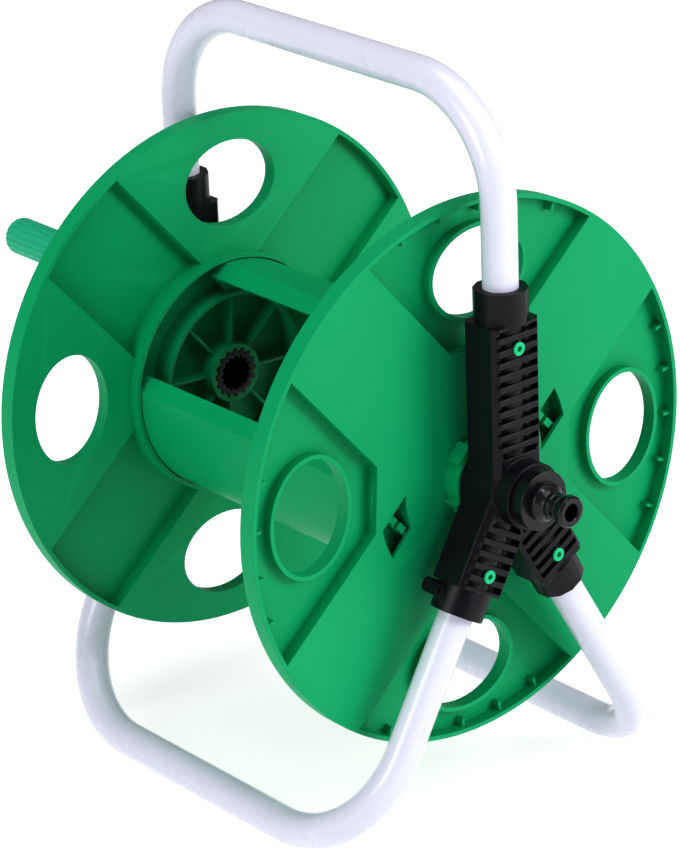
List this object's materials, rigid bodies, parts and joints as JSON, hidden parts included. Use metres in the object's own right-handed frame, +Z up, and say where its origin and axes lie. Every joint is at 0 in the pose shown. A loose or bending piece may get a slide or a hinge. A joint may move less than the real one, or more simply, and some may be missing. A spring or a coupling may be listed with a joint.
{
  "type": "hose reel",
  "caption": "Freestanding garden hose reel: bent steel tube frame with carrying handle and leg loops, plastic drum on a water-carrying axle, side crank with a turning knob.",
  "frame": {"origin": "centre of the bounding box on the floor plane", "axes": "+X along the axle towards the water inlet, +Z up, -Y towards the front leg loop; the crank knob is on the -X side"},
  "size_m": [0.3926, 0.3, 0.4187],
  "materials": {
    "white_tube": "gloss white powder coat",
    "black_hub": "satin black moulded plastic",
    "black_water": "gloss black moulded plastic",
    "green_drum": "satin green polypropylene",
    "green_crank": "semi-gloss green plastic",
    "green_pin": "light green plastic",
    "zinc_steel": "zinc-plated steel",
    "seal_rubber": "black rubber"
  },
  "bodies": {
    "frame": {"handle_tube": "white_tube", "front_leg_tube": "white_tube", "rear_leg_tube": "white_tube", "inlet_hub": "black_hub", "crank_hub": "black_hub", "inlet_tube_pins": "green_pin", "crank_tube_pins": "green_pin", "inlet_clamp_screws": "zinc_steel", "crank_clamp_screws": "zinc_steel", "inlet_stem": "black_water", "stem_clip": "zinc_steel", "stem_o_rings": "seal_rubber", "inlet_connector": "black_water", "inlet_connector_seal": "seal_rubber", "inlet_connector_o_ring": "seal_rubber"},
    "drum": {"inlet_flange": "green_drum", "crank_flange": "green_drum", "front_core_slat": "green_drum", "rear_core_slat": "green_drum", "outlet_elbow": "black_water", "elbow_screws": "zinc_steel", "outlet_connector": "black_water", "outlet_connector_seal": "seal_rubber", "outlet_connector_o_ring": "seal_rubber", "crank_shaft": "black_hub", "crank_arm": "green_crank", "crank_screw": "zinc_steel", "crank_washer": "zinc_steel", "knob_bolt": "zinc_steel", "knob_nut": "zinc_steel"},
    "knob": {"crank_knob": "green_crank", "knob_cap": "green_crank"}
  },
  "joints": [
    {"name": "drum_spin", "type": "hinge", "parent": "frame", "child": "drum", "pos_m": [0.0144, 0, 0.19843], "axis": [1, 0, 0], "continuous": true},
    {"name": "knob_spin", "type": "hinge", "parent": "drum", "child": "knob", "pos_m": [-0.1718, -0.06264, 0.26444], "axis": [1, 0, 0], "continuous": true}
  ]
}
